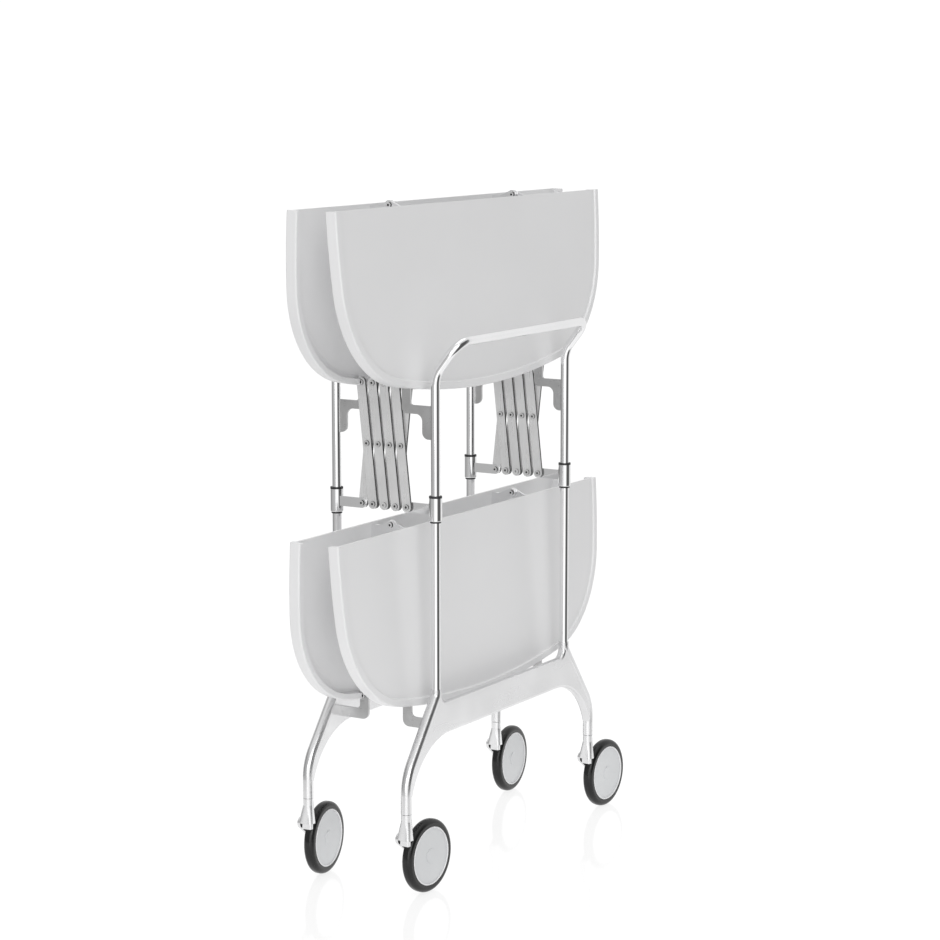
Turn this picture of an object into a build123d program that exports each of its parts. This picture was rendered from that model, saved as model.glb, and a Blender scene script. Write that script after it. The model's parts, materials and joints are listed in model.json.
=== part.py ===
from build123d import *
from math import asin, atan2, cos, degrees, hypot, radians, sin, sqrt
import os

# Folding bar cart on castors, folded.  Millimetres.
# +X runs along the tray hinge lines, +Z is up and -Y is the front.  The origin is on the
# floor under the middle of the cart.  Two equal end frames, front and rear, carry two trays.
# Each tray is a pair of half-round leaves hinged together in the middle, and a lazy tongs
# on each side keeps the end frames level and parallel while they move apart.
# The front frame is the rear frame turned half round the Z axis.

# ---- end frames ----
POST_X = 167.0              # posts from the middle of the frame
POST_Y = 75.0               # posts from the middle plane of the folded cart
TUBE_R = 6.0
TUBE_WALL = 1.2
HANDLE_BEND = 15.0          # upper leaf pin up to where the posts start to lean outwards
HANDLE_RISE = 58.0          # upper leaf pin up to the centre of the handle rail
HANDLE_REACH = 34.0         # handle rail beyond the posts
BEND_R = 35.0
HANDLE_CORNER_R = 23.5

# ---- castings ----
APRON_THICKNESS = 12.0
APRON_TOP_Z = 238.5
APRON_HEIGHT = 40.5
SOCKET_RISE = 20.5          # apron top up to the mouth of the sockets
SOCKET_DEPTH = 9.0
LEG_R = 7.0
LEG_X = 238.2               # castor stems from the middle of the frame
LEG_BEND_Z = 157.0          # where the slope of a leg meets its foot
LEG_BEND_R = 60.0
LEG_BOTTOM_Z = 112.2
CASTING_EDGE_R = 4.0

# ---- trays ----
LEAF_HALF_LENGTH = 330.0    # half of the straight edge
LEAF_DEPTH = 242.0          # straight edge to the crown of the curved edge
LEAF_TILT = 3.3             # lean of a folded leaf, degrees
LEAF_THICKNESS = 16.0       # lip to rim top
LEAF_FLOOR = 3.0
LEAF_LIP = 8.0              # width of the lip under the curved edge
LIP_R = 2.0
RIM_HEIGHT = 3.0
RIM_WIDTH = 9.0
RIM_R = 2.4                 # rounding of the rim and of the cove inside it
LEAF_SIDE_R = 850.0         # the outline is three tangent arcs on each half
LEAF_CORNER_R = 145.0
LEAF_CROWN_R = 1200.0
LEAF_INNER_Y = 20.4         # lip from the middle plane, at the straight edge
TRAY_SPACING = 409.0
PIN_BELOW_APRON = 0.5       # lower leaf pin below the apron top
PIN_TO_EDGE = 225.0         # leaf pin up to the straight edge
LEAF_PIN_Y = 34.0           # leaf pins from the middle plane
HINGE_RISE = 0.0            # centre hinge pin above the straight edge

# ---- lazy tongs ----
CROSSINGS = 4               # crossed pairs of links on each side
TONGS_CLEARANCE = 28.0      # bottom row of pivots above the lower tray's straight edge
LINK_THICKNESS = 3.0
LINK_WIDTH = 13.0
LAYER_GAP = 0.4             # between the two layers of links
INNER_LAYER_X = 164.9       # inner face of the inner layer
RIVET_R = 2.0
RIVET_HEAD_R = 3.8
RIVET_HEAD = 1.4
RIVET_HOLLOW_R = 1.5        # the rivets are tubular at both ends
RIVET_HOLLOW = 3.0
PLAY = 0.1                  # under a rivet head that a moving piece turns against
RUNNING = 0.05              # radial clearance of whatever turns or slides on a shaft

# ---- brackets ----
BRACKET_ARM = 11.0          # height of the arms of the upper brackets
BRACKET_DROP = 24.5         # leaf pin down to the top of the arm
BRACKET_LOBE = 42.5         # height of the welded flange on the post
LOWER_ARM = 13.5            # the same for the lower brackets
LOWER_DROP = 18.5
LUG_THICKNESS = 3.5
LUG_R = 6.0

# ---- sliding collars ----
COLLAR_R = 8.5
COLLAR_HEIGHT = 29.8
COLLAR_EDGE_R = 1.5
BUSH_WALL = 1.0
BUSH_FLANGE_R = 8.4         # flange on top of the collar
BUSH_FLANGE = 2.5
BUSH_TAIL = 2.0             # bush showing below the collar

# ---- castors ----
WHEEL_R = 47.5
TYRE_WIDTH = 14.5
TYRE_DEPTH = 9.5
TYRE_ROUND = 6.0
DISC_DISH = 1.2
DISC_RING = 2.0
TRAIL = 44.0                # castor stem to wheel axle
STEM_R = 6.8
SPIGOT_R = 4.0
SPIGOT_LENGTH = 22.0
SEAM = 0.8                  # open seam between leg and castor
AXLE_R = 4.0
HOOD_GAP = 1.8              # tread to hood
HOOD_DEPTH = 14.0           # front to back where the hood is widest
HOOD_WIDEST = 30.5          # height of that place above the axle
HOOD_BOTTOM = 23.5          # height of the lower edge above the axle
FORK_GAP = 1.2              # tyre side to the fork's arm
ARM_THICKNESS = 4.0
HEADINGS = {                # heading of each parked castor, degrees from +X
    "front_left": -3.5,
    "front_right": -2.5,
    "rear_left": 7.0,
    "rear_right": 4.0,
}

# ---- worked out ----
APRON_BOTTOM_Z = APRON_TOP_Z - APRON_HEIGHT
SOCKET_TOP_Z = APRON_TOP_Z + SOCKET_RISE
LOWER_PIN_Z = APRON_TOP_Z - PIN_BELOW_APRON
UPPER_PIN_Z = LOWER_PIN_Z + TRAY_SPACING
EDGE_Z = {"upper": UPPER_PIN_Z + PIN_TO_EDGE, "lower": LOWER_PIN_Z + PIN_TO_EDGE}
TONGS_BOTTOM_Z = EDGE_Z["lower"] + TONGS_CLEARANCE
TONGS_DROP = UPPER_PIN_Z - TONGS_BOTTOM_Z
HANDLE_BEND_Z = UPPER_PIN_Z + HANDLE_BEND
HANDLE_Z = UPPER_PIN_Z + HANDLE_RISE
PITCH = 2 * LEAF_PIN_Y / CROSSINGS
OUTER_LAYER_X = INNER_LAYER_X + LINK_THICKNESS + LAYER_GAP
TONGS_FACE_X = OUTER_LAYER_X + LINK_THICKNESS
LUG_X = INNER_LAYER_X - 1.9 - LUG_THICKNESS
HINGE_X = LUG_X - 9.0
UNDER_FLOOR = LEAF_THICKNESS - RIM_HEIGHT - LEAF_FLOOR
TILT = radians(LEAF_TILT)
HOLE_R = RIVET_R + RUNNING
ROW_Z = {"top": UPPER_PIN_Z, "middle": (UPPER_PIN_Z + TONGS_BOTTOM_Z) / 2, "bottom": TONGS_BOTTOM_Z}

Z_TURN = Rot(0, 0, 180)


def save(name, *pieces):
    """Write one sub-part; a group of equal pieces is written as separate solids."""
    shape = pieces[0] if len(pieces) == 1 else Compound(children=list(pieces))
    export_step(shape, f"parts/{name}.step")


def x_cylinder(radius, x_from, x_to, y, z):
    """A cylinder along X between two X values."""
    length = abs(x_to - x_from)
    return Pos((x_from + x_to) / 2, y, z) * Rot(0, 90, 0) * Cylinder(radius, length)


def plate(face, x_from, thickness):
    """Extrude a face drawn as (Y, Z) from x_from towards +X."""
    return extrude(Plane.YZ.offset(x_from) * face, thickness)


def outline(points, radii):
    """A closed face of straight runs with one corner radius per point."""
    return make_face(FilletPolyline(*points, radius=radii, close=True))


def mirror_x(shape):
    return mirror(shape, about=Plane.YZ)


def solid(shape):
    """The single solid of a fused shape."""
    return shape.solids()[0] if len(shape.solids()) == 1 else shape


# ---------------------------------------------------------------- end frames

def tube_frame():
    """Two posts and the handle rail, one bent tube."""
    foot_z = SOCKET_TOP_Z - SOCKET_DEPTH
    half = [(POST_X, POST_Y, foot_z), (POST_X, POST_Y, HANDLE_BEND_Z), (POST_X, POST_Y + HANDLE_REACH, HANDLE_Z)]
    other = [(-x, y, z) for x, y, z in reversed(half)]
    path = FilletPolyline(*half, *other, radius=[BEND_R, HANDLE_CORNER_R, HANDLE_CORNER_R, BEND_R])
    foot = Plane((POST_X, POST_Y, foot_z), x_dir=(1, 0, 0), z_dir=(0, 0, 1))
    section = foot * (Circle(TUBE_R) - Circle(TUBE_R - TUBE_WALL))
    return solid(sweep(section, path=path))


def casting():
    """Apron, arched webs, sockets and legs in one piece."""
    socket_x = POST_X - LEG_R
    arch_z = LEG_BOTTOM_Z + 20
    leg_inside = LEG_X - LEG_R
    corner = 12.0
    with BuildSketch(Plane.XZ) as web:
        with BuildLine():
            Line((0, APRON_TOP_Z), (socket_x - corner, APRON_TOP_Z))
            CenterArc((socket_x - corner, APRON_TOP_Z + corner), corner, -90, 90)
            Line((socket_x, APRON_TOP_Z + corner), (POST_X, APRON_TOP_Z + corner))
            Line((POST_X, APRON_TOP_Z + corner), (LEG_X, LEG_BEND_Z))
            Line((LEG_X, LEG_BEND_Z), (LEG_X, arch_z))
            Line((LEG_X, arch_z), (leg_inside, arch_z))
            ThreePointArc((leg_inside, arch_z), (leg_inside - 27, arch_z + 41), (leg_inside - 90, APRON_BOTTOM_Z))
            Line((leg_inside - 90, APRON_BOTTOM_Z), (0, APRON_BOTTOM_Z))
            mirror(about=Plane.YZ)
        make_face()
    apron = extrude(web.sketch, APRON_THICKNESS / 2, both=True)
    faces = apron.faces().filter_by(Axis.Y)
    apron = fillet(faces.edges(), CASTING_EDGE_R)
    apron = Pos(0, POST_Y, 0) * apron

    route = [(POST_X, POST_Y, SOCKET_TOP_Z), (POST_X, POST_Y, SOCKET_TOP_Z - SOCKET_DEPTH)]
    route += [(LEG_X, POST_Y, LEG_BEND_Z), (LEG_X, POST_Y, LEG_BOTTOM_Z)]
    path = FilletPolyline(*route, radius=[12.0, LEG_BEND_R])
    top = Plane(route[0], x_dir=(1, 0, 0), z_dir=(0, 0, -1))
    leg = sweep(top * Circle(LEG_R), path=path)

    body = apron + leg + mirror_x(leg)
    socket = Pos(POST_X, POST_Y, SOCKET_TOP_Z) * Cylinder(TUBE_R, 2 * SOCKET_DEPTH)
    bore_depth = SPIGOT_LENGTH + 2
    bore = Pos(LEG_X, POST_Y, LEG_BOTTOM_Z + bore_depth / 2) * Cylinder(SPIGOT_R + RUNNING, bore_depth)
    for hole in (socket, bore):
        body -= hole
        body -= mirror_x(hole)
    return solid(body)


def upper_bracket(layer_x):
    """Plate welded to a post, with an arm that rises to the leaf and tongs pin."""
    arm_top = UPPER_PIN_Z - BRACKET_DROP
    arm_bottom = arm_top - BRACKET_ARM
    lobe_bottom = arm_top - BRACKET_LOBE
    near = LEAF_PIN_Y - LUG_R - 0.5
    far = LEAF_PIN_Y + LUG_R + 0.5
    points = [(POST_Y, arm_top), (far, arm_top), (far, UPPER_PIN_Z), (near, UPPER_PIN_Z), (near, arm_bottom)]
    points += [(POST_Y - 17, arm_bottom), (POST_Y - 17, lobe_bottom), (POST_Y, lobe_bottom)]
    face = outline(points, [0, 3, 0, 0, 8, 9, 9, 0])
    body = plate(face, layer_x, LINK_THICKNESS)
    body += x_cylinder(LUG_R + 0.5, layer_x, layer_x + LINK_THICKNESS, LEAF_PIN_Y, UPPER_PIN_Z)
    body -= x_cylinder(RIVET_R, layer_x, layer_x + LINK_THICKNESS, LEAF_PIN_Y, UPPER_PIN_Z)
    return body - Pos(POST_X, POST_Y, UPPER_PIN_Z) * Cylinder(TUBE_R, 4 * BRACKET_LOBE)


def lower_bracket(layer_x):
    """Angled plate from the casting to the lower leaf pin."""
    arm_top = LOWER_PIN_Z - LOWER_DROP
    arm_bottom = arm_top - LOWER_ARM
    near = LEAF_PIN_Y - LUG_R - 0.5
    far = LEAF_PIN_Y + LUG_R + 0.5
    wall = POST_Y - APRON_THICKNESS / 2
    points = [(wall, arm_top), (far, arm_top), (far, LOWER_PIN_Z), (near, LOWER_PIN_Z), (near, arm_bottom)]
    points += [(wall, arm_bottom)]
    face = outline(points, [0, 6, 0, 0, 9, 0])
    body = plate(face, layer_x, LINK_THICKNESS)
    body += x_cylinder(LUG_R + 0.5, layer_x, layer_x + LINK_THICKNESS, LEAF_PIN_Y, LOWER_PIN_Z)
    return body - x_cylinder(RIVET_R, layer_x, layer_x + LINK_THICKNESS, LEAF_PIN_Y, LOWER_PIN_Z)


# ---------------------------------------------------------------- sliding collars

def collar(layer_x):
    """Sleeve on a post with a flat arm to the lowest pivot of the tongs, in place for +X."""
    sleeve = Cylinder(COLLAR_R, COLLAR_HEIGHT)
    sleeve = Pos(POST_X, POST_Y, TONGS_BOTTOM_Z) * fillet(sleeve.edges().group_by(Axis.Z)[0], COLLAR_EDGE_R)
    half = LINK_WIDTH / 2
    arm = plate(Pos((LEAF_PIN_Y + POST_Y) / 2, TONGS_BOTTOM_Z) * Rectangle(POST_Y - LEAF_PIN_Y, 2 * half),
                layer_x, LINK_THICKNESS)
    arm += x_cylinder(half, layer_x, layer_x + LINK_THICKNESS, LEAF_PIN_Y, TONGS_BOTTOM_Z)
    bore = Pos(POST_X, POST_Y, TONGS_BOTTOM_Z) * Cylinder(TUBE_R + RUNNING + BUSH_WALL, 2 * COLLAR_HEIGHT)
    hole = x_cylinder(HOLE_R, layer_x, layer_x + LINK_THICKNESS, LEAF_PIN_Y, TONGS_BOTTOM_Z)
    return solid(sleeve + arm - bore - hole)


def collar_bush():
    """Black sliding bush with a flange on top of the collar and a tail below it."""
    body = Pos(0, 0, -BUSH_TAIL / 2) * Cylinder(TUBE_R + RUNNING + BUSH_WALL, COLLAR_HEIGHT + BUSH_TAIL)
    body += Pos(0, 0, (COLLAR_HEIGHT + BUSH_FLANGE) / 2) * Cylinder(BUSH_FLANGE_R, BUSH_FLANGE)
    body -= Cylinder(TUBE_R + RUNNING, 2 * COLLAR_HEIGHT)
    return Pos(POST_X, POST_Y, TONGS_BOTTOM_Z) * solid(body)


# ---------------------------------------------------------------- trays

def leaf_plane(edge_z, rear):
    """Plane on the skirt edge of a folded leaf: X along the cart, Y down the leaf, Z outwards."""
    side = 1 if rear else -1
    outward = (0, side * cos(TILT), sin(TILT))
    return Plane((0, side * LEAF_INNER_Y, edge_z), x_dir=(side, 0, 0), z_dir=outward)


def leaf_pin():
    """Leaf pin in the leaf's own plane: distance from the straight edge and height."""
    out = LEAF_PIN_Y - LEAF_INNER_Y
    return PIN_TO_EDGE * cos(TILT) + out * sin(TILT), out * cos(TILT) - PIN_TO_EDGE * sin(TILT)


def hinge_pin():
    """Centre hinge pin in the leaf's own plane: distance from the straight edge and height."""
    depth = -LEAF_INNER_Y * sin(TILT) - HINGE_RISE * cos(TILT)
    return depth, -LEAF_INNER_Y * cos(TILT) + HINGE_RISE * sin(TILT)


def leaf_face(inset, edge):
    """Outline of a leaf moved inwards by inset, with its straight edge at the given depth."""
    side = (LEAF_HALF_LENGTH - LEAF_SIDE_R, 0.0)
    crown = (0.0, LEAF_DEPTH - LEAF_CROWN_R)
    to_side = LEAF_SIDE_R - LEAF_CORNER_R
    to_crown = LEAF_CROWN_R - LEAF_CORNER_R
    apart = hypot(crown[0] - side[0], crown[1] - side[1])
    along = (to_side ** 2 - to_crown ** 2 + apart ** 2) / (2 * apart)
    off = sqrt(to_side ** 2 - along ** 2)
    unit = ((crown[0] - side[0]) / apart, (crown[1] - side[1]) / apart)
    corner = (side[0] + along * unit[0] - off * unit[1], side[1] + along * unit[1] + off * unit[0])
    start = degrees(asin(edge / (LEAF_SIDE_R - inset)))
    first = degrees(atan2(corner[1] - side[1], corner[0] - side[0]))
    second = degrees(atan2(corner[1] - crown[1], corner[0] - crown[0]))
    with BuildSketch() as face:
        with BuildLine():
            flank = CenterArc(side, LEAF_SIDE_R - inset, start, first - start)
            CenterArc(corner, LEAF_CORNER_R - inset, first, second - first)
            CenterArc(crown, LEAF_CROWN_R - inset, second, 90 - second)
            mirror(about=Plane.YZ)
            Line(flank @ 0, (-(flank @ 0).X, (flank @ 0).Y))
        make_face()
    return face.sketch


def curved_edges(shape, height):
    """The edges of a leaf at one height, without the one along the straight edge."""
    level = shape.edges().filter_by_position(Axis.Z, height - 0.01, height + 0.01)
    return [edge for edge in level if edge.geom_type == GeomType.CIRCLE]


def leaf(edge_z, rear):
    """Half-round tray leaf: floor, raised rim, lip below, notches for the tongs and two pin lugs."""
    floor_top = LEAF_THICKNESS - RIM_HEIGHT
    body = extrude(leaf_face(0, 0), LEAF_THICKNESS)
    body = fillet(curved_edges(body, LEAF_THICKNESS), RIM_R)
    body = fillet(curved_edges(body, 0), LIP_R)
    dish = extrude(Pos(0, 0, floor_top) * leaf_face(RIM_WIDTH, -5), 2 * RIM_HEIGHT)
    dish = fillet(curved_edges(dish, floor_top), RIM_R)
    body -= dish
    body -= extrude(leaf_face(LEAF_LIP, -5), UNDER_FLOOR)

    pin_depth, pin_height = leaf_pin()
    notch_from = LUG_X - RIVET_HEAD - 1.0
    notch_to = TONGS_FACE_X + RIVET_HEAD + 1.8
    notch = Box(notch_to - notch_from, 3 * LEAF_DEPTH, UNDER_FLOOR, align=(Align.MIN, Align.CENTER, Align.MIN))
    notch = Pos(notch_from, 0, 0) * notch
    for side in (-1, 1):
        body -= notch if side > 0 else mirror_x(notch)
        lug = Box(LUG_THICKNESS, 2 * LUG_R, UNDER_FLOOR - pin_height, align=(Align.MIN, Align.CENTER, Align.MAX))
        lug = Pos(LUG_X, pin_depth, UNDER_FLOOR) * lug
        lug += x_cylinder(LUG_R, LUG_X, LUG_X + LUG_THICKNESS, pin_depth, pin_height)
        lug -= x_cylinder(HOLE_R, LUG_X - 1, LUG_X + LUG_THICKNESS + 1, pin_depth, pin_height)
        body += lug if side > 0 else mirror_x(lug)
    return leaf_plane(edge_z, rear) * solid(body)


def hinge_lugs(edge_z, rear):
    """The two metal lugs that carry a leaf on the centre hinge pins."""
    depth, height = hinge_pin()
    x = HINGE_X if rear else HINGE_X + LINK_THICKNESS + LAYER_GAP
    hole = HOLE_R if rear else RIVET_R
    foot = 2.0
    corners = [(foot, UNDER_FLOOR), (foot + 26, UNDER_FLOOR), (depth + LUG_R * 0.8, height - LUG_R * 0.6)]
    corners += [(depth - LUG_R * 0.96, height + LUG_R * 0.28), (foot, -1.5)]
    pieces = []
    for side in (-1, 1):
        face = make_face(Polyline(*corners, close=True))
        lug = plate(face, x, LINK_THICKNESS)
        lug += x_cylinder(LUG_R, x, x + LINK_THICKNESS, depth, height)
        lug -= x_cylinder(hole, x - 1, x + LINK_THICKNESS + 1, depth, height)
        pieces.append(leaf_plane(edge_z, rear) * solid(lug if side > 0 else mirror_x(lug)))
    return pieces


def headed_pin(y, z, seat, tail, x_side=1):
    """A tubular pin with a head beyond each of its two seats, given as distances from the middle."""
    pin = x_cylinder(RIVET_R, tail - RIVET_HEAD, seat + RIVET_HEAD, y, z)
    pin += x_cylinder(RIVET_HEAD_R, seat, seat + RIVET_HEAD, y, z)
    pin += x_cylinder(RIVET_HEAD_R, tail - RIVET_HEAD, tail, y, z)
    pin -= x_cylinder(RIVET_HOLLOW_R, seat + RIVET_HEAD - RIVET_HOLLOW, seat + RIVET_HEAD, y, z)
    pin -= x_cylinder(RIVET_HOLLOW_R, tail - RIVET_HEAD, tail - RIVET_HEAD + RIVET_HOLLOW, y, z)
    return solid(pin if x_side > 0 else mirror_x(pin))


def hinge_pins(edge_z):
    """The two pins of one centre hinge."""
    seat = HINGE_X + 2 * LINK_THICKNESS + LAYER_GAP
    return [headed_pin(0, edge_z + HINGE_RISE, seat, HINGE_X - PLAY, side) for side in (-1, 1)]


# ---------------------------------------------------------------- lazy tongs

def pivot(row, number):
    """Y and Z of a top or bottom pivot, counted from 1 at the rear."""
    return (CROSSINGS / 2 + 1 - number) * PITCH, ROW_Z[row]


def crossing(number):
    """Y and Z of the pivot where two links cross."""
    return (CROSSINGS / 2 + 0.5 - number) * PITCH, ROW_Z["middle"]


def half_rivet(y, z, layer_x):
    """Head on the free side of one link, with a shank that ends inside that link."""
    outer = layer_x == OUTER_LAYER_X
    head_x = layer_x + LINK_THICKNESS if outer else layer_x - RIVET_HEAD
    hollow_x = head_x + RIVET_HEAD - RIVET_HOLLOW if outer else head_x
    rivet = x_cylinder(RIVET_R, layer_x, layer_x + LINK_THICKNESS, y, z)
    rivet += x_cylinder(RIVET_HEAD_R, head_x, head_x + RIVET_HEAD, y, z)
    return rivet - x_cylinder(RIVET_HOLLOW_R, hollow_x, hollow_x + RIVET_HOLLOW, y, z)


def link(number, falling, layer_x, stub):
    """Flat link on the +X side. A falling link has its top at the rear and its bottom in front."""
    top_y, top_z = pivot("top", number if falling else number + 1)
    bottom_y, bottom_z = pivot("bottom", number + 1 if falling else number)
    length = hypot(top_y - bottom_y, top_z - bottom_z)
    lean = degrees(atan2(top_y - bottom_y, top_z - bottom_z))
    slot = Pos(*crossing(number)) * Rot(0, 0, 90 - lean) * SlotCenterToCenter(length, LINK_WIDTH)
    body = plate(slot, layer_x, LINK_THICKNESS)
    holes = [(top_y, top_z), crossing(number)]
    if stub:
        body += half_rivet(bottom_y, bottom_z, layer_x)
    else:
        holes.append((bottom_y, bottom_z))
    for y, z in holes:
        body -= x_cylinder(HOLE_R, layer_x - 1, layer_x + LINK_THICKNESS + 1, y, z)
    return solid(body)


def rivets(full, half):
    """Rivets at the given pivots on both sides, full ones through both layers of links."""
    pieces = []
    for side in (-1, 1):
        pieces += [headed_pin(y, z, TONGS_FACE_X, INNER_LAYER_X - PLAY, side) for y, z in full]
        for y, z, layers in half:
            piece = solid(half_rivet(y, z, layers[side]))
            pieces.append(piece if side > 0 else mirror_x(piece))
    return pieces


# ---------------------------------------------------------------- castors

def castor_place(corner):
    """Where a castor stands and which way it points."""
    x = -LEG_X if "left" in corner else LEG_X
    y = -POST_Y if "front" in corner else POST_Y
    return Pos(x, y, 0) * Rot(0, 0, HEADINGS[corner])


def y_cylinder(radius, y_from, y_to, x=TRAIL, z=WHEEL_R):
    """A cylinder along Y between two Y values, on the wheel axle unless told otherwise."""
    return Pos(x, (y_from + y_to) / 2, z) * Rot(90, 0, 0) * Cylinder(radius, abs(y_to - y_from))


def castor_fork():
    """Stem, hood over the tread and one arm to the axle, with the swivel spigot on top."""
    top_z = LEG_BOTTOM_Z - SEAM
    half = TYRE_WIDTH / 2 + FORK_GAP
    far = half + ARM_THICKNESS
    clear_r = WHEEL_R + HOOD_GAP
    widest_z = WHEEL_R + HOOD_WIDEST
    bottom_z = WHEEL_R + HOOD_BOTTOM
    neck_z = top_z - 9
    body = Pos(0, 0, (top_z + neck_z) / 2) * Cylinder(STEM_R, top_z - neck_z)
    widest = Pos(0, (far - half) / 2, widest_z) * RectangleRounded(HOOD_DEPTH, far + half, 5)
    body += loft([Pos(0, 0, neck_z) * Circle(STEM_R), widest])
    skirt = Pos(1 - HOOD_DEPTH / 2, 0, bottom_z) * Box(
        HOOD_DEPTH / 2, 2 * half - 3, widest_z - bottom_z + 1, align=(Align.MIN, Align.CENTER, Align.MIN))
    body += fillet(skirt.edges().filter_by(Axis.Z), 2.5)
    with BuildSketch(Plane.XZ) as arm:
        with Locations((TRAIL, WHEEL_R)):
            Circle(9)
        with Locations((0, widest_z)):
            Circle(HOOD_DEPTH / 2)
        make_hull()
    body += Pos(0, far, 0) * extrude(arm.sketch, ARM_THICKNESS)
    body += Pos(0, 0, top_z + SPIGOT_LENGTH / 2) * Cylinder(SPIGOT_R, SPIGOT_LENGTH)
    body -= y_cylinder(clear_r, -2 * half, half)
    body -= y_cylinder(AXLE_R, half - 1, far + 1)
    return solid(body)


def wheel_hub():
    """Light disc of the wheel, dished on both sides, with a blind bore for the axle."""
    half = TYRE_WIDTH / 2
    rim_r = WHEEL_R - TYRE_DEPTH
    body = y_cylinder(rim_r, -half + 0.3, half - 0.3)
    for side in (-1, 1):
        floor_y = side * (half - DISC_DISH)
        body -= y_cylinder(rim_r - DISC_RING, floor_y, side * half) - y_cylinder(9, side * half, floor_y)
    return solid(body - y_cylinder(AXLE_R + RUNNING, -half + 4, half))


def tyre():
    """Black tyre with rounded shoulders."""
    body = y_cylinder(WHEEL_R, -TYRE_WIDTH / 2, TYRE_WIDTH / 2)
    body = fillet(body.edges().filter_by(GeomType.CIRCLE), TYRE_ROUND)
    return solid(body - y_cylinder(WHEEL_R - TYRE_DEPTH, -TYRE_WIDTH, TYRE_WIDTH))


def axle():
    """Axle fixed in the arm of the fork."""
    half = TYRE_WIDTH / 2
    return y_cylinder(AXLE_R, -half + 4.5, half + FORK_GAP + ARM_THICKNESS)


# ---------------------------------------------------------------- assembly

def end_frame(end):
    """Write the sub-parts of one end frame; they are drawn at the rear."""
    place = Z_TURN if end == "front" else Rot(0, 0, 0)
    brackets = []
    for make in (upper_bracket, lower_bracket):
        brackets.append(place * solid(make(OUTER_LAYER_X)))
        brackets.append(place * mirror_x(solid(make(INNER_LAYER_X))))
    save(f"{end}_tube_frame", place * tube_frame())
    save(f"{end}_casting", place * casting())
    save(f"{end}_tray_brackets", *brackets)

    pins = []
    for z in (UPPER_PIN_Z, LOWER_PIN_Z):
        for side in (-1, 1):
            pins.append(place * headed_pin(LEAF_PIN_Y, z, TONGS_FACE_X + PLAY, LUG_X - PLAY, side))
    save(f"{end}_pivot_pins", *pins)

    bush = collar_bush()
    save(f"{end}_collar_bushes", place * bush, place * mirror_x(bush))
    names = ("right", "left") if end == "rear" else ("left", "right")
    save(f"{end}_{names[0]}_collar", place * collar(INNER_LAYER_X))
    save(f"{end}_{names[1]}_collar", place * mirror_x(collar(OUTER_LAYER_X)))


def trays():
    """Write the four leaves and their centre hinges."""
    for level, edge_z in EDGE_Z.items():
        for end, rear in (("front", False), ("rear", True)):
            save(f"{end}_{level}_leaf", leaf(edge_z, rear))
            save(f"{end}_{level}_hinge_lugs", *hinge_lugs(edge_z, rear))
        save(f"{level}_hinge_pins", *hinge_pins(edge_z))


def tongs():
    """Write the links and rivets of both lazy tongs, counted from the rear."""
    middle = CROSSINGS // 2
    falling_layers = {-1: OUTER_LAYER_X, 1: INNER_LAYER_X}
    rising_layers = {-1: INNER_LAYER_X, 1: OUTER_LAYER_X}
    for number in range(1, CROSSINGS + 1):
        for name, falling, layers in (("falling", True, falling_layers), ("rising", False, rising_layers)):
            stub = number == (middle if falling else middle + 1)
            for side_name, side in (("left", -1), ("right", 1)):
                body = link(number, falling, layers[side], stub)
                save(f"{side_name}_{name}_link_{number}", body if side > 0 else mirror_x(body))

    top_middle = pivot("top", middle + 1)
    for number in range(1, CROSSINGS + 1):
        rear_half = number <= middle
        outer_number = number + 1 if rear_half else number
        full = [crossing(number)]
        half = []
        if outer_number == middle + 1:
            half.append((*top_middle, rising_layers if rear_half else falling_layers))
        else:
            full.append(pivot("top", outer_number))
        full.append(pivot("bottom", number if rear_half else number + 1))
        save(f"tongs_rivets_{number}", *rivets(full, half))


def castors():
    """Write the four castors."""
    fork, hub, tread, shaft = castor_fork(), wheel_hub(), tyre(), axle()
    for corner in HEADINGS:
        place = castor_place(corner)
        save(f"{corner}_castor_fork", place * fork)
        save(f"{corner}_wheel_hub", place * hub)
        save(f"{corner}_tyre", place * tread)
        save(f"{corner}_axle", place * shaft)


os.makedirs("parts", exist_ok=True)
end_frame("front")
end_frame("rear")
trays()
tongs()
castors()
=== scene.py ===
import json
import math
import bpy
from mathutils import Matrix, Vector


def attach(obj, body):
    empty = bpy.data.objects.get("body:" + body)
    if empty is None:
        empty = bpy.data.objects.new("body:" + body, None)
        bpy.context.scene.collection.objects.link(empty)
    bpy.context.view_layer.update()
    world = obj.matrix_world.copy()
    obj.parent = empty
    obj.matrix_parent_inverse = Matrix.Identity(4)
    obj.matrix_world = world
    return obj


# Folding bar cart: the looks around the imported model.  Metres, Z up, front towards -Y.

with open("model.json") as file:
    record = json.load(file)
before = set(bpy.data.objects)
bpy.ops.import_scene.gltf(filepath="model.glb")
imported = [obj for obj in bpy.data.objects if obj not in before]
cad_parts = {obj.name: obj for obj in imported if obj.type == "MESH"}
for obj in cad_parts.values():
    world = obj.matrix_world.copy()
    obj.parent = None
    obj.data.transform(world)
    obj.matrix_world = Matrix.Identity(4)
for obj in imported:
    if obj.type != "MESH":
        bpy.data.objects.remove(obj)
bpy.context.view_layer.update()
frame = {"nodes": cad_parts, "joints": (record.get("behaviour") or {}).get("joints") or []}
nodes = frame["nodes"]

# ---- view ----
CAMERA_AZIMUTH = -58.886    # degrees; 0 looks along +Y
CAMERA_ELEVATION = 8.636
CAMERA_AIM = Vector((0.0, -0.025, 0.516))
CAMERA_DISTANCE = 3.597
LENS = 104.14

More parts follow.
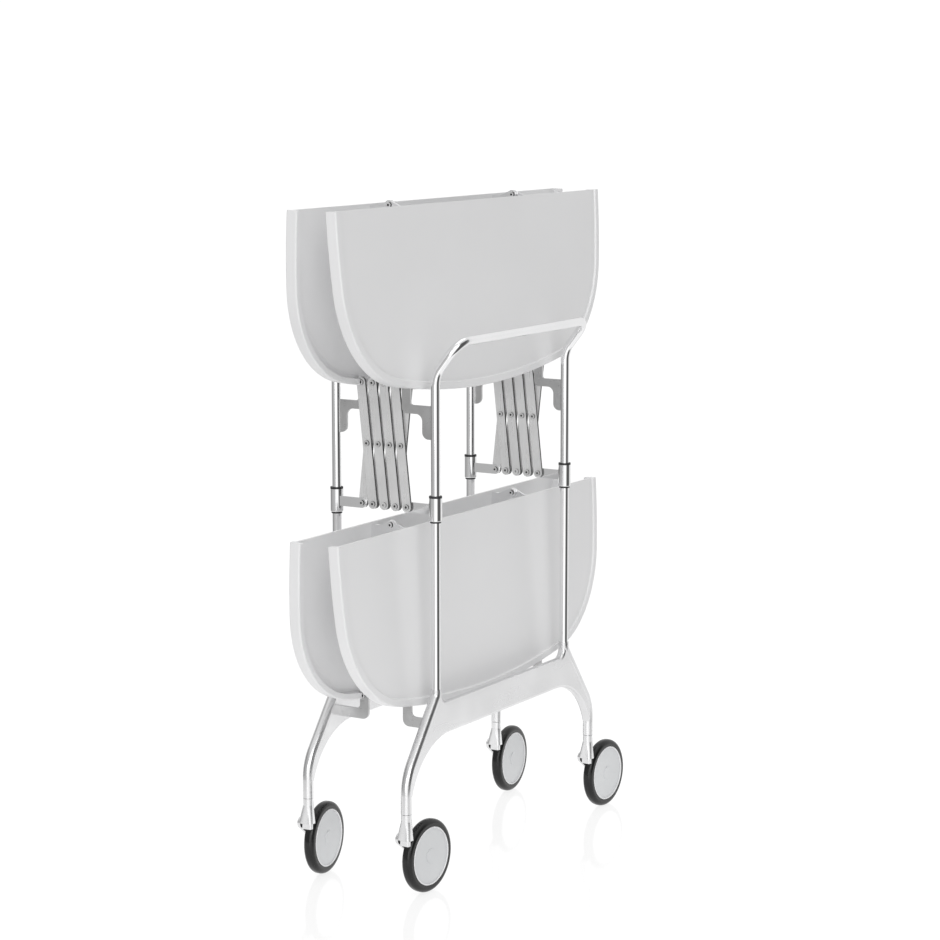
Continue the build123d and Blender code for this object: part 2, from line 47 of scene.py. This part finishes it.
# ---- light ----
WORLD_STRENGTH = 0.84
SURROUNDINGS = (            # degrees to the right of the camera, seen from the cart, and brightness
    (-180, 1.05), (-140, 1.05), (-122, 0.80), (-108, 0.24), (-98, 0.24), (-86, 0.55), (-40, 0.60),
    (-25, 0.80), (-12, 1.50), (17, 1.50), (30, 0.90), (43, 0.13), (76, 0.11), (92, 0.26),
    (104, 0.98), (122, 1.08), (180, 1.05),
)
OVERHEAD = 1.0              # brightness of the ceiling
CEILING = (0.45, 0.80)      # sine of the elevation where the walls end and the ceiling is full
FLOOR_RADIUS = 0.85         # metres; the floor fades out from FLOOR_PLAIN to here
FLOOR_PLAIN = 0.62
BACKDROP = 1.05             # brightness of the plain white that the camera sees behind the cart
LIGHTS = (                  # name, place, aim, size and watts of each soft light
    ("key", (-3.4, -3.4, 2.6), (0, 0, 0.5), (2.4, 2.4), 34),
    ("left", (-4.2, -1.1, 0.9), (-0.2, 0.04, 0.55), (1.2, 1.8), 12),
    ("top", (0.0, 0.0, 4.0), (0, 0, 0.4), (3.0, 3.0), 14),
)


# ---------------------------------------------------------------- material helpers

UPRIGHT = (1, 1, 0.04)      # grain drawn out along Z
EVEN = (1, 1, 1)            # grain the same every way

class Shader:
    """A node material under construction, with short calls for the nodes used here."""

    def __init__(self, name):
        self.material = bpy.data.materials.new(name)
        self.material.use_nodes = True
        self.tree = self.material.node_tree
        self.shader = self.tree.nodes["Principled BSDF"]
        self.coords = self.tree.nodes.new("ShaderNodeTexCoord").outputs["Object"]
        self.bumps = None

    def node(self, kind, **values):
        made = self.tree.nodes.new(kind)
        for key, value in values.items():
            if key in made.inputs:
                made.inputs[key].default_value = value
            else:
                setattr(made, key, value)
        return made

    def link(self, source, target):
        self.tree.links.new(source, target)

    def set(self, **values):
        for key, value in values.items():
            self.shader.inputs[key.replace("_", " ")].default_value = value

    def scaled(self, scale=(1, 1, 1), rotation=(0, 0, 0)):
        mapping = self.node("ShaderNodeMapping")
        mapping.inputs["Scale"].default_value = scale
        mapping.inputs["Rotation"].default_value = rotation
        self.link(self.coords, mapping.inputs["Vector"])
        return mapping.outputs["Vector"]

    def noise(self, scale, detail=3.0, vector=None, roughness=0.5):
        made = self.node("ShaderNodeTexNoise", Scale=scale, Detail=detail, Roughness=roughness)
        self.link(vector or self.coords, made.inputs["Vector"])
        return made.outputs["Fac"]

    def ramp(self, factor, low, high, start=0.0, end=1.0):
        """Colours or greys between two values; a plain number is a grey."""
        made = self.node("ShaderNodeValToRGB")
        for element, place, value in zip(made.color_ramp.elements, (start, end), (low, high)):
            element.position = place
            element.color = (*value, 1) if isinstance(value, tuple) else (value, value, value, 1)
        self.link(factor, made.inputs["Fac"])
        return made.outputs["Color"]

    def color(self, factor, low, high, start=0.3, end=0.7):
        self.link(self.ramp(factor, low, high, start, end), self.shader.inputs["Base Color"])

    def roughness(self, factor, low, high, start=0.3, end=0.7):
        self.link(self.ramp(factor, low, high, start, end), self.shader.inputs["Roughness"])

    def facing(self, axis, low, high):
        """Grey from 0 to 1 as the surface turns to face along an axis, from low to high in cosine."""
        dot = self.node("ShaderNodeVectorMath", operation="DOT_PRODUCT")
        dot.inputs[1].default_value = axis
        self.link(self.tree.nodes.new("ShaderNodeTexCoord").outputs["Normal"], dot.inputs[0])
        size = self.node("ShaderNodeMath", operation="ABSOLUTE")
        self.link(dot.outputs["Value"], size.inputs[0])
        return self.ramp(size.outputs["Value"], 0.0, 1.0, low, high)

    def painted_edge_shade(self, amount, shade_tone):
        """Painted shade: darkens the colour of the surfaces that don't face along X, such as sheared edges and
        bores.
        """
        mix = self.node("ShaderNodeMix", data_type="RGBA")
        mix.inputs["A"].default_value = (shade_tone, shade_tone, shade_tone, 1)
        base = self.shader.inputs["Base Color"]
        self.link(base.links[0].from_socket, mix.inputs["B"])
        self.link(self.facing((1, 0, 0), *amount), mix.inputs["Factor"])
        self.link(mix.outputs["Result"], base)

    def bump(self, height, distance, strength=1.0):
        made = self.node("ShaderNodeBump", Strength=strength, Distance=distance)
        self.link(height, made.inputs["Height"])
        if self.bumps:
            self.link(self.bumps, made.inputs["Normal"])
        self.bumps = made.outputs["Normal"]
        self.link(self.bumps, self.shader.inputs["Normal"])


def moulded_plastic(name, low, high, gloss=(0.30, 0.42), coat=0.15):
    """Satin injection-moulded plastic: faint mottling, fine grain and a soft sheen."""
    made = Shader(name)
    made.color(made.noise(6.0, 4.0), low, high)
    made.roughness(made.noise(45.0, 5.0), *gloss)
    made.bump(made.noise(900.0, 2.0), 0.00006, 0.35)
    made.bump(made.noise(14.0, 2.0), 0.0006, 0.10)
    made.set(IOR=1.5, Coat_Weight=coat, Coat_Roughness=0.2)
    return made.material


def chrome(name):
    """Polished chrome plate with a trace of haze and hairline scratches."""
    made = Shader(name)
    made.color(made.noise(9.0, 3.0), (0.86, 0.86, 0.865), (0.92, 0.92, 0.925))
    made.roughness(made.noise(60.0, 6.0, made.scaled((1, 1, 0.12))), 0.035, 0.10)
    made.bump(made.noise(500.0, 3.0, made.scaled((1, 1, 0.05))), 0.00002, 0.25)
    made.set(Metallic=1.0)
    return made.material


def brushed_metal(name, low, high, gloss=(0.24, 0.40), grain=UPRIGHT):
    """Bright worn metal with a fine grain along one direction."""
    made = Shader(name)
    made.color(made.noise(30.0, 5.0), low, high)
    made.roughness(made.noise(220.0, 6.0, made.scaled(grain)), *gloss)
    made.bump(made.noise(700.0, 4.0, made.scaled(grain)), 0.00005, 0.35)
    made.set(Metallic=1.0)
    return made.material


def plate_metal(name, low, high, edge_shade_tone, metallic=1.0, gloss=(0.24, 0.40), grain=UPRIGHT):
    """Sheet metal pressed flat across X: bright grained faces, with painted shade darkening the sheared edges and
    bores.
    """
    made = Shader(name)
    made.color(made.noise(30.0, 5.0), low, high)
    # painted shade: faces turning away from X are mixed towards a dark tone
    made.painted_edge_shade((0.45, 0.85), edge_shade_tone)
    made.roughness(made.noise(220.0, 6.0, made.scaled(grain)), *gloss)
    made.bump(made.noise(700.0, 4.0, made.scaled(grain)), 0.00005, 0.35)
    made.set(Metallic=metallic)
    return made.material


def polished_casting():
    """Cast aluminium polished by hand: bright, with a fine grain along the apron."""
    made = Shader("polished_casting")
    made.color(made.noise(14.0, 3.0), (0.76, 0.76, 0.765), (0.83, 0.83, 0.835))
    made.roughness(made.noise(40.0, 5.0, made.scaled((0.3, 1, 1))), 0.20, 0.30)
    made.bump(made.noise(900.0, 2.0, made.scaled((0.2, 1, 1))), 0.00001, 0.15)
    made.set(Metallic=1.0)
    return made.material


def tyre_rubber():
    """Black glossy rubber with a faint moulded grain."""
    made = Shader("tyre_rubber")
    made.color(made.noise(40.0, 5.0), (0.003, 0.003, 0.003), (0.009, 0.009, 0.009))
    made.roughness(made.noise(120.0, 5.0), 0.14, 0.24)
    made.bump(made.noise(700.0, 3.0), 0.00006, 0.25)
    made.set(IOR=1.45)
    return made.material


def floor_material():
    """Bright white with a faint mirror, fading out towards its rim."""
    made = Shader("studio_floor")
    made.color(made.noise(3.0, 2.0), (0.18, 0.18, 0.18), (0.20, 0.20, 0.20))
    made.set(Roughness=0.08, IOR=1.20, Emission_Color=(1, 1, 1, 1), Emission_Strength=0.81)
    radius = made.node("ShaderNodeVectorMath", operation="LENGTH")
    made.link(made.coords, radius.inputs[0])
    made.link(made.ramp(radius.outputs["Value"], 1.0, 0.0, FLOOR_PLAIN, FLOOR_RADIUS), made.shader.inputs["Alpha"])
    return made.material


# ---------------------------------------------------------------- materials on the CAD nodes

MATERIALS = {
    "tray": moulded_plastic("tray_plastic", (0.84, 0.84, 0.845), (0.865, 0.865, 0.87)),
    "chrome": chrome("chrome_plate"),
    "casting": polished_casting(),
    # link and rivet steel: the tone after the colours is the painted shade on their edges and bores
    "link": plate_metal("link_steel", (0.84, 0.84, 0.84), (0.92, 0.92, 0.92), 0.08, 0.65),
    "bracket": brushed_metal("bracket_steel", (0.54, 0.54, 0.54), (0.68, 0.68, 0.68), (0.26, 0.42), EVEN),
    "steel": brushed_metal("bright_steel", (0.55, 0.55, 0.56), (0.72, 0.72, 0.73), (0.18, 0.30), EVEN),
    "rivet": plate_metal("rivet_steel", (0.80, 0.80, 0.80), (0.92, 0.92, 0.92), 0.02, 1.0, (0.12, 0.22), EVEN),
    "bush": moulded_plastic("bush_plastic", (0.012, 0.012, 0.013), (0.030, 0.030, 0.032), (0.38, 0.52), 0.0),
    "disc": moulded_plastic("wheel_disc_plastic", (0.66, 0.67, 0.68), (0.73, 0.74, 0.75), (0.34, 0.48), 0.1),
    # the bead plastic is lighter than the disc plastic: a painted highlight on the rounded bead
    "rim": moulded_plastic("disc_rim_painted_highlight_plastic", (0.80, 0.80, 0.81), (0.86, 0.86, 0.87), (0.16, 0.26), 0.3),
    "tyre": tyre_rubber(),
}

NODE_MATERIALS = (
    ("_leaf", "tray"),
    ("_tube_frame", "chrome"),
    ("_collar", "chrome"),
    ("_collar_bushes", "bush"),
    ("_casting", "casting"),
    ("_castor_fork", "casting"),
    ("_wheel_hub", "disc"),
    ("_tyre", "tyre"),
    ("_axle", "steel"),
    ("_tray_brackets", "bracket"),
    ("_hinge_lugs", "chrome"),
    ("_pins", "rivet"),
)


def node_material(name):
    """The material of a CAD node, from how its name ends or starts."""
    if name.startswith("tongs_rivets"):
        return MATERIALS["rivet"]
    if "_link_" in name:
        return MATERIALS["link"]
    for ending, key in NODE_MATERIALS:
        if name.endswith(ending):
            return MATERIALS[key]
    raise ValueError(name)


def dress_nodes():
    for name, node in nodes.items():
        node.data.materials.clear()
        node.data.materials.append(node_material(name))


# ---------------------------------------------------------------- bright rims of the wheel discs: beads in a plastic lighter than the disc's, a painted highlight

def mesh_object(name, points, faces, material):
    mesh = bpy.data.meshes.new(name)
    mesh.from_pydata(points, [], faces)
    mesh.update()
    made = bpy.data.objects.new(name, mesh)
    bpy.context.scene.collection.objects.link(made)
    mesh.materials.append(material)
    return made


RIM_BEAD = 0.0009           # radius of the bead's section
BEAD_INSET = 0.0012         # its distance inside the disc's edge


def disc_rim(joint):
    """A rolled bead round both faces of a wheel disc, where the tyre begins."""
    wheel = joint["child"]
    hub = nodes[wheel + "_hub"]
    axis, centre = Vector(joint["axis"]).normalized(), Vector(joint["pos_m"])
    offsets = [vertex.co - centre for vertex in hub.data.vertices]
    heights = [offset.dot(axis) for offset in offsets]
    radius = max((offset - axis * height).length for offset, height in zip(offsets, heights)) - BEAD_INSET
    across = axis.cross(Vector((0, 0, 1))).normalized()
    up = across.cross(axis)
    points, faces = [], []
    turns, sides = 96, 12
    for face_height in (min(heights), max(heights)):
        first = len(points)
        for turn in range(turns):
            angle = 2 * math.pi * turn / turns
            outward = across * math.cos(angle) + up * math.sin(angle)
            for side in range(sides):
                tilt = 2 * math.pi * side / sides
                bead = outward * (radius + RIM_BEAD * math.cos(tilt)) + axis * (RIM_BEAD * math.sin(tilt))
                points.append(centre + axis * face_height + bead)
                near, far = first + turn * sides, first + (turn + 1) % turns * sides
                beyond = (side + 1) % sides
                faces.append((near + side, near + beyond, far + beyond, far + side))
    rim = mesh_object(wheel + "_rim", points, faces, MATERIALS["rim"])
    rim.data.shade_smooth()
    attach(rim, wheel)


# ---------------------------------------------------------------- stage

def studio_floor():
    """A round white sweep, small enough that the chrome mirrors the walls beyond it."""
    steps = 96
    turns = [2 * math.pi * step / steps for step in range(steps)]
    rim = [(FLOOR_RADIUS * math.cos(turn), FLOOR_RADIUS * math.sin(turn), 0) for turn in turns]
    mesh_object("floor", rim, [tuple(range(steps))], floor_material())


def area_light(name, place, aim, size, watts):
    data = bpy.data.lights.new(name, "AREA")
    data.shape = "RECTANGLE"
    data.size, data.size_y = size
    data.energy = watts
    light = bpy.data.objects.new(name, data)
    light.location = place
    light.rotation_euler = (Vector(aim) - Vector(place)).to_track_quat("-Z", "Y").to_euler()
    bpy.context.scene.collection.objects.link(light)


def studio_world():
    """Walls whose brightness changes around the cart, a bright ceiling, and plain white behind."""
    world = bpy.data.worlds.new("studio")
    bpy.context.scene.world = world
    world.use_nodes = True
    tree = world.node_tree
    tree.nodes.clear()
    new, link = tree.nodes.new, tree.links.new
    output, mix = new("ShaderNodeOutputWorld"), new("ShaderNodeMixShader")
    light, plain = new("ShaderNodeBackground"), new("ShaderNodeBackground")
    path, coords = new("ShaderNodeLightPath"), new("ShaderNodeTexCoord")
    azimuth = math.radians(CAMERA_AZIMUTH)

    def along(direction):
        dot = new("ShaderNodeVectorMath")
        dot.operation = "DOT_PRODUCT"
        dot.inputs[1].default_value = direction
        link(coords.outputs["Generated"], dot.inputs[0])
        return dot.outputs["Value"]

    angle = new("ShaderNodeMath")
    angle.operation = "ARCTAN2"
    link(along((math.cos(azimuth), math.sin(azimuth), 0)), angle.inputs[0])
    link(along((math.sin(azimuth), -math.cos(azimuth), 0)), angle.inputs[1])
    turn = new("ShaderNodeMapRange")
    turn.inputs["From Min"].default_value = -math.pi
    turn.inputs["From Max"].default_value = math.pi
    link(angle.outputs["Value"], turn.inputs["Value"])
    walls = new("ShaderNodeValToRGB")
    walls.color_ramp.interpolation = "EASE"
    while len(walls.color_ramp.elements) < len(SURROUNDINGS):
        walls.color_ramp.elements.new(0.5)
    for element, (degrees, level) in zip(walls.color_ramp.elements, SURROUNDINGS):
        element.position = degrees / 360 + 0.5
        element.color = (level, level, level, 1)
    link(turn.outputs["Result"], walls.inputs["Fac"])
    height = new("ShaderNodeMapRange")
    height.interpolation_type = "SMOOTHSTEP"
    height.inputs["From Min"].default_value, height.inputs["From Max"].default_value = CEILING
    link(along((0, 0, 1)), height.inputs["Value"])
    level = new("ShaderNodeMix")
    level.data_type = "RGBA"
    level.inputs["B"].default_value = (OVERHEAD, OVERHEAD, OVERHEAD, 1)
    link(height.outputs["Result"], level.inputs["Factor"])
    link(walls.outputs["Color"], level.inputs["A"])
    link(level.outputs["Result"], light.inputs["Color"])
    light.inputs["Strength"].default_value = WORLD_STRENGTH
    plain.inputs["Color"].default_value = (1, 1, 1, 1)
    plain.inputs["Strength"].default_value = BACKDROP
    link(path.outputs["Is Camera Ray"], mix.inputs["Fac"])
    link(light.outputs["Background"], mix.inputs[1])
    link(plain.outputs["Background"], mix.inputs[2])
    link(mix.outputs["Shader"], output.inputs["Surface"])


def studio_camera():
    azimuth, elevation = math.radians(CAMERA_AZIMUTH), math.radians(CAMERA_ELEVATION)
    ahead = Vector((-math.sin(azimuth) * math.cos(elevation), math.cos(azimuth) * math.cos(elevation),
                    -math.sin(elevation)))
    data = bpy.data.cameras.new("camera")
    data.lens = LENS
    camera = bpy.data.objects.new("camera", data)
    camera.location = CAMERA_AIM - ahead * CAMERA_DISTANCE
    camera.rotation_euler = ahead.to_track_quat("-Z", "Y").to_euler()
    bpy.context.scene.collection.objects.link(camera)
    bpy.context.scene.camera = camera


dress_nodes()
for joint in frame["joints"]:
    if joint["name"].endswith("_roll"):
        disc_rim(joint)
studio_floor()
studio_world()
studio_camera()
for light in LIGHTS:
    area_light(*light)
bpy.context.scene.view_settings.view_transform = "Standard"
